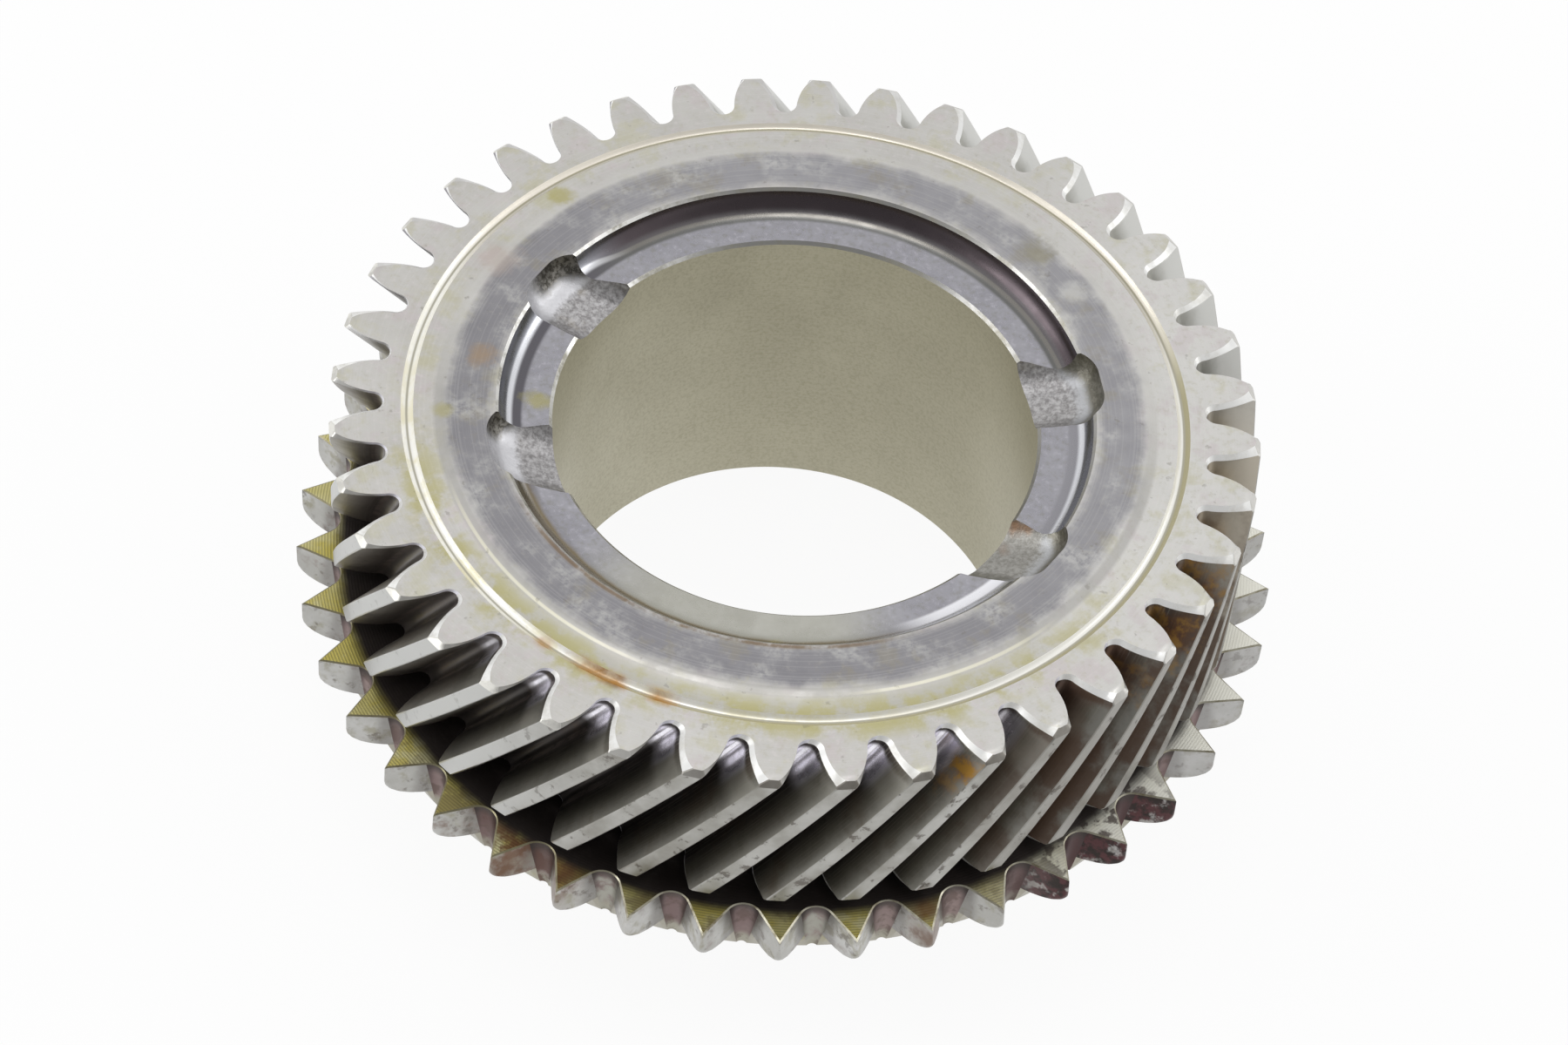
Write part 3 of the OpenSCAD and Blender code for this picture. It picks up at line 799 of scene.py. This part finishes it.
def gapShare(look, size):  # 1 in the middle of a dog gap, -1 in the middle of a dog
    bearing = calc("SUBTRACT", calc("ARCTAN2", look.y, look.x), math.radians(size["turnBy"]))
    return times(calc("COSINE", times(bearing, size["teeth"])), -1.0)


def frontGrime(look, size):  # brown grime caked on a few dogs at the front left
    return times(look.sector(size["cakedDegrees"], 6, 3), ramp(look.noise(420, 4, 0.6), 0.4, 0.53))


# dog tops: yellow with oil over turning marks, near white on the right with painted light, painted shade further in
# under the helical teeth
def dogTopSteel(size):
    look = Look("dogTopSteel", 0.8)
    broad = look.noise(120, 5, 0.6)
    marks = calc("SINE", times(calc("ADD", look.radius, times(broad, 0.25)), 2*math.pi/size["markPitch"]))
    look.base(ramp(broad, 0.35, 0.65), (0.56, 0.505, 0.19), (0.74, 0.70, 0.41))
    look.paint((0.58, 0.49, 0.085), ramp(look.noise(230, 4, 0.6), 0.44, 0.58), 0.75)
    # painted light: near white on the right
    right = ramp(look.x, 0.018, 0.042)
    look.paint((1.0, 1.0, 0.93), right, 0.9)
    feed(look.shader.inputs["Metallic"], ramp(right, 0, 1, 0.7, 0.3))
    look.paint(blendColour(right, (0.25, 0.22, 0.095), (0.84, 0.83, 0.75)), ramp(marks, -0.2, 0.9), 0.55)
    patch = times(ramp(look.noise(300, 4, 0.6), 0.49, 0.6), calc("SUBTRACT", 1.0, right))
    look.paint((0.21, 0.165, 0.09), patch, ramp(look.x, -0.044, -0.03), 0.6)
    look.blots((0.22, 0.10, 0.04), size["rustSpots"], broad)
    stain = ramp(look.noise(420, 4, 0.6), 0.48, 0.56)
    look.paint((0.06, 0.035, 0.03), look.sector(size["maroonDegrees"], 9, 4), stain, 0.85)
    look.paint((0.19, 0.09, 0.045), frontGrime(look, size), 0.85)
    # painted shade under the helical teeth
    ragged = roughen(look.radius, broad, 1.2)
    ragged = calc("ADD", ragged, calc("ADD", ramp(look.x, -0.02, -0.036), right))
    look.paint((0.058, 0.048, 0.045), ramp(ragged, *size["underShadeR"]))
    look.bump(marks, 0.004)
    return look.done(between(broad, 0.36, 0.5))


# dog gaps: maroon, with painted shade at the sides and the top and painted highlights in a few
def dogGapSteel(size):
    look = Look("dogGapSteel", 0.6)
    broad = look.noise(110, 4, 0.6)
    fine = look.noise(800, 3)
    look.base(ramp(broad, 0.35, 0.65), (0.21, 0.14, 0.135), (0.34, 0.26, 0.245))
    look.paint((0.42, 0.40, 0.33), ramp(look.height, *size["gapFoot"]))
    blotched = look.noise(360, 4, 0.6)
    look.paint((0.10, 0.06, 0.045), ramp(blotched, 0.47, 0.6), 0.6)
    look.blots((0.09, 0.04, 0.03), size["rustSpots"], blotched, out=-0.5, down=1, wider=1)
    # painted highlights in a few gaps
    look.blots((0.46, 0.46, 0.40), size["glintGaps"], fine)
    look.paint((0.12, 0.055, 0.04), frontGrime(look, size), 0.8)
    look.paint((0.07, 0.03, 0.03), look.sector(size["maroonDegrees"], 12, 4), 0.95)
    # painted shade at the sides of each gap
    look.paint((0.06, 0.045, 0.045), ramp(gapShare(look, size), 0.8, 0.35), 0.65)
    # painted shade at the top of the gaps
    dark = ramp(calc("ADD", look.height, times(broad, 1.6)), *size["gapShade"])
    look.paint((0.045, 0.035, 0.03), dark, 0.85)
    look.bump(fine, 0.012)
    return look.done(between(broad, 0.34, 0.5))


# dog flanks: grey with brown stains, maroon on a few at the front right
def dogFlankSteel(size):
    look = Look("dogFlankSteel", 0.85)
    broad = look.noise(160, 4, 0.6)
    stained = look.noise(330, 4, 0.65)
    fine = look.noise(700, 4, 0.6)
    look.base(ramp(broad, 0.35, 0.7), (0.43, 0.425, 0.40), (0.62, 0.615, 0.60))
    look.paint((0.27, 0.25, 0.16), ramp(stained, 0.5, 0.66), 0.6)
    look.paint((0.24, 0.18, 0.16), ramp(stained, 0.44, 0.3), 0.45)
    look.paint((0.13, 0.11, 0.09), ramp(fine, 0.56, 0.68), 0.6)
    # painted shade: darker towards the gaps
    look.paint((0.13, 0.115, 0.105), ramp(gapShare(look, size), -0.4, 0.2), 0.5)
    look.paint((0.36, 0.355, 0.35), ramp(look.x, 0.03, 0.045), 0.4)
    maroon = blendColour(ramp(fine, 0.42, 0.6), (0.085, 0.036, 0.038), (0.03, 0.022, 0.02))
    look.paint(maroon, look.sector(size["maroonDegrees"], 12, 4), ramp(stained, 0.35, 0.47))
    look.blots((0.15, 0.08, 0.045), size["rustSpots"], stained, out=1.5, down=2, wider=1)
    look.paint((0.16, 0.08, 0.045), frontGrime(look, size), ramp(look.height, *size["cakedHigh"]), 0.75)
    look.bump(fine, 0.02)
    look.bump(stained, 0.06)
    return look.done(between(broad, 0.3, 0.45))


def dogRing():
    s = ringSize
    halfPitch = 180/s["teeth"]
    lean = math.radians(s["halfAngle"])
    openBy = lean + math.radians(halfPitch)
    slope = math.tan(openBy)
    ease = math.sqrt(1 + slope**2) - slope
    bend = math.pi/2 - openBy
    zTip = s["zTop"] - s["landHigh"]
    zUnder = zTip - s["underWide"]*math.tan(math.radians(s["underAngle"]))
    foot = s["gapR"] + s["footStep"]
    zPivot = s["zRim"] - s["pivotLow"]
    rootSteps, flankSteps, noseSteps = s["rootSteps"], s["flankSteps"], s["noseSteps"]
    wallSteps = flankSteps + noseSteps
    topZone, flankZone, gapZone, edgeZone, hiddenZone, coneZone = range(6)
    across = math.sin(math.radians(halfPitch)), math.cos(math.radians(halfPitch))

    def outline(z, outR, grow, nosed):  # half of a dog gap and half of a tooth, as radius and angle
        c = s["rootR"]*ease + (z - zPivot)*math.tan(math.radians(s["taper"])) + grow
        r = c/ease
        rootX = s["gapR"] - grow

        def at(x, y):
            return math.hypot(x, y), math.degrees(math.atan2(y, x))

        def arc(a):
            return rootX + r*(1 - math.cos(a)), r*math.sin(a)

        bendX, bendY = arc(bend)
        if not nosed:  # below the teeth: round the root out to the rim wall, then along the wall
            low, high = 0.0, bend
            for _ in range(40):
                mid = (low + high)/2
                low, high = (mid, high) if at(*arc(mid))[0] < outR else (low, mid)
            side = [at(*arc(low*k/rootSteps)) for k in range(rootSteps + 1)]
            lastA = side[-1][1]
            return side + [(outR, lastA + (halfPitch - lastA)*k/wallSteps) for k in range(1, wallSteps + 1)]
        side = [at(*arc(bend*k/rootSteps)) for k in range(rootSteps + 1)]
        x = (rootX*across[0] - c*across[1])/(slope*across[1] - across[0])
        sharp = (rootX + x)*across[1] + (c + slope*x)*across[0]  # where the two flanks of a tooth would meet
        noseR = max(0, sharp - outR)/(1/math.sin(lean) - 1)
        middle = min(sharp, outR) - noseR
        nose = []
        for k in range(noseSteps + 1):
            b = lean + (math.pi/2 - lean)*k/noseSteps
            along, off = middle + noseR*math.sin(b), noseR*math.cos(b)
            nose.append((math.hypot(along, off), halfPitch - math.degrees(math.atan2(off, along))))
        endX, endY, _ = turn(*nose[0], 0)
        for k in range(1, flankSteps):
            share = k/flankSteps
            side.append(at(bendX + (endX - bendX)*share, bendY + (endY - bendY)*share))
        return side + nose

    e = s["edge"]
    levels = [(s["zTop"], s["tipR"] - e, e, True), (s["zTop"] - e, s["tipR"], 0, True)]
    zRound = zTip + s["noseRound"]
    sideRows, rimRows = s["sideRows"], s["rimRows"]
    side = s["zTop"] - e - zRound
    levels += [(s["zTop"] - e - side*k/sideRows, s["tipR"], 0, True) for k in range(1, sideRows + 1)]
    for k in range(1, sideRows + 1):  # the underside rounds in below the tip
        b = math.radians(90*k/sideRows)
        levels.append((zRound + (zUnder - zRound)*math.sin(b), s["tipR"] - s["underWide"]*(1 - math.cos(b)), 0, True))
    for k in range(rimRows + 1):
        z = zUnder + (s["zRim"] - zUnder)*k/rimRows
        levels.append((z, foot + (z - s["zRim"])*math.tan(math.radians(s["wallAngle"])), 0, False))
    pitch = Sheet()
    rows = []
    for z, outR, grow, nosed in levels:
        side = outline(z, outR, grow, nosed)
        ring = [turn(r, s["turnBy"] - halfPitch + a, z) for r, a in side]
        ring += [turn(r, s["turnBy"] + halfPitch - a, z) for r, a in side[-2::-1]]
        rows.append(list(pitch.row(ring)))
    for i in range(len(rows) - 1):
        used = [gapZone]*rootSteps + [flankZone if levels[i + 1][3] else hiddenZone]*wallSteps
        pitch.strip(rows[i], rows[i + 1], used + used[::-1] if i else edgeZone)
    steps = s["arcSteps"]
    rings = (rows[0], s["topInner"], s["zTop"], topZone), (rows[-1], s["underInner"], s["zRim"], hiddenZone)
    for ring, radius, z, zone in rings:
        inner = [turn(radius, s["turnBy"] - halfPitch + 2*halfPitch*i/steps, z) for i in range(steps, -1, -1)]
        pitch.fill(ring + list(pitch.row(inner)), zone)

    cone = math.tan(math.radians(s["coneAngle"]))
    coneEnd = s["coneR"] - s["coneLong"]*cone
    profile = [(s["topInner"], s["zTop"], topZone), (s["hubR"], s["zTop"], hiddenZone),
               (s["hubR"], s["zEnd"], hiddenZone), (coneEnd - s["coneChamfer"], s["zEnd"], edgeZone),
               (coneEnd + s["coneChamfer"]*cone, s["zEnd"] + s["coneChamfer"], coneZone)]
    low = s["zRim"] - s["relief"]
    profile.append((s["coneR"] - (s["zRim"] - low)*cone, low, coneZone))
    for k in range(1, s["reliefSteps"] + 1):
        x, z, _ = turn(s["relief"], 270 - 270*k/s["reliefSteps"], 0)
        profile.append((s["coneR"] + x, s["zRim"] + z, hiddenZone))
    profile.append((s["underInner"], s["zRim"], hiddenZone))
    lathed = Sheet()
    lathe(lathed, profile, s["teeth"]*steps)
    body = lathed.object("ringLathe")
    body.data.transform(Matrix.Rotation(math.radians(s["turnBy"] - halfPitch), 4, "Z"))
    finishes = [
        dogTopSteel(s), dogFlankSteel(s), dogGapSteel(s),
        edgeSteel("ringEdgeSteel", 0.7, (0.46, 0.44, 0.35), (0.30, 0.275, 0.17), (0.20, 0.17, 0.10)),
        turnedSteel("ringSteel", (0.32, 0.30, 0.25), (0.47, 0.45, 0.38), "radius"),
        turnedSteel("coneSteel", (0.36, 0.355, 0.34), (0.52, 0.51, 0.49), "height")]
    return makeRow("dogRing", pitch.object("dogPitch"), body, s["teeth"], finishes)


ring = dogRing()
finishMesh(ring)
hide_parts("dog_ring")
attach(ring, "root")
print("dog ring made")


# floor, light and camera
stageLook = dict(
    floorWide=6.0, floorLow=0.05*mm, floorWhite=0.9, whiteShare=0.93, skyLow=0.8, skyHigh=0.9, skyRise=0.9,
    skyFront=0.3, openWay=(-0.82, 0.57), openFrom=(0.5, 0.85))


def whiteRays(tree):  # rays that should see the plain background
    path = tree.nodes.new("ShaderNodeLightPath")
    total = calc("MAXIMUM", path.outputs["Is Camera Ray"], path.outputs["Is Glossy Ray"])
    return calc("MAXIMUM", total, path.outputs["Is Transmission Ray"])


def makeStage():
    s = stageLook
    half = s["floorWide"]/2
    mesh = bpy.data.meshes.new("floor")
    corners = [(x*half, y*half, -s["floorLow"]) for x, y in ((-1, -1), (1, -1), (1, 1), (-1, 1))]
    mesh.from_pydata(corners, [], [(0, 1, 2, 3)])
    floor = place("floor", mesh)
    material = bpy.data.materials.new("floorWhite")
    material.use_nodes = True
    tree = material.node_tree
    tree.nodes.remove(tree.nodes["Principled BSDF"])
    plain = tree.nodes.new("ShaderNodeBsdfDiffuse")
    plain.inputs["Color"].default_value = (s["floorWhite"],)*3 + (1,)
    glow = tree.nodes.new("ShaderNodeEmission")
    glow.inputs["Color"].default_value = (1, 1, 1, 1)
    mix = tree.nodes.new("ShaderNodeMixShader")
    tree.links.new(times(whiteRays(tree), s["whiteShare"]), mix.inputs[0])
    tree.links.new(plain.outputs[0], mix.inputs[1])
    tree.links.new(glow.outputs[0], mix.inputs[2])
    tree.links.new(mix.outputs[0], tree.nodes["Material Output"].inputs["Surface"])
    mesh.materials.append(material)

    world = bpy.data.worlds.new("studio")
    world.use_nodes = True
    tree = world.node_tree
    sky = tree.nodes["Background"]
    way = tree.nodes.new("ShaderNodeSeparateXYZ")
    tree.links.new(tree.nodes.new("ShaderNodeTexCoord").outputs["Generated"], way.inputs[0])
    level = ramp(way.outputs["Z"], 0.0, s["skyRise"])
    colour = blendColour(level, (s["skyLow"],)*3, (s["skyHigh"],)*3)
    # the camera's side of the tent is open and darker
    ahead, up = (times(way.outputs[axis], share) for axis, share in zip("YZ", s["openWay"]))
    front = ramp(calc("ADD", ahead, up), *s["openFrom"])
    colour = blendColour(front, colour, (s["skyFront"],)*3)
    tree.links.new(colour, sky.inputs["Color"])
    sky.inputs["Strength"].default_value = 1.0
    bpy.context.scene.world = world


lamps = dict(
    overhead=dict(place=(-0.05, 0.05, 0.9), wide=0.28, watts=1.0),
    left=dict(place=(-0.75, -0.1, 0.45), wide=0.4, watts=1.6),
    right=dict(place=(0.75, 0.2, 0.4), wide=0.35, watts=1.0))


def makeLamps():
    for name, lamp in lamps.items():
        data = bpy.data.lights.new(name, "AREA")
        data.shape = "SQUARE"
        data.size = lamp["wide"]
        data.energy = lamp["watts"]
        light = place(name, data)
        light.location = lamp["place"]
        light.rotation_euler = (-Vector(lamp["place"])).to_track_quat("-Z", "Y").to_euler()


viewSize = dict(place=(0.017879, -0.314759, 0.407475), turned=(39.1602, -3.30664, 7.35108), lens=104.112)


def makeCamera():
    data = bpy.data.cameras.new("camera")
    data.sensor_fit = "HORIZONTAL"
    data.sensor_width = 36
    data.lens = viewSize["lens"]
    camera = place("camera", data)
    camera.location = viewSize["place"]
    camera.rotation_euler = [math.radians(a) for a in viewSize["turned"]]
    bpy.context.scene.camera = camera


makeStage()
makeLamps()
makeCamera()
bpy.context.scene.view_settings.view_transform = "Standard"
print("stage, lamps and camera made")
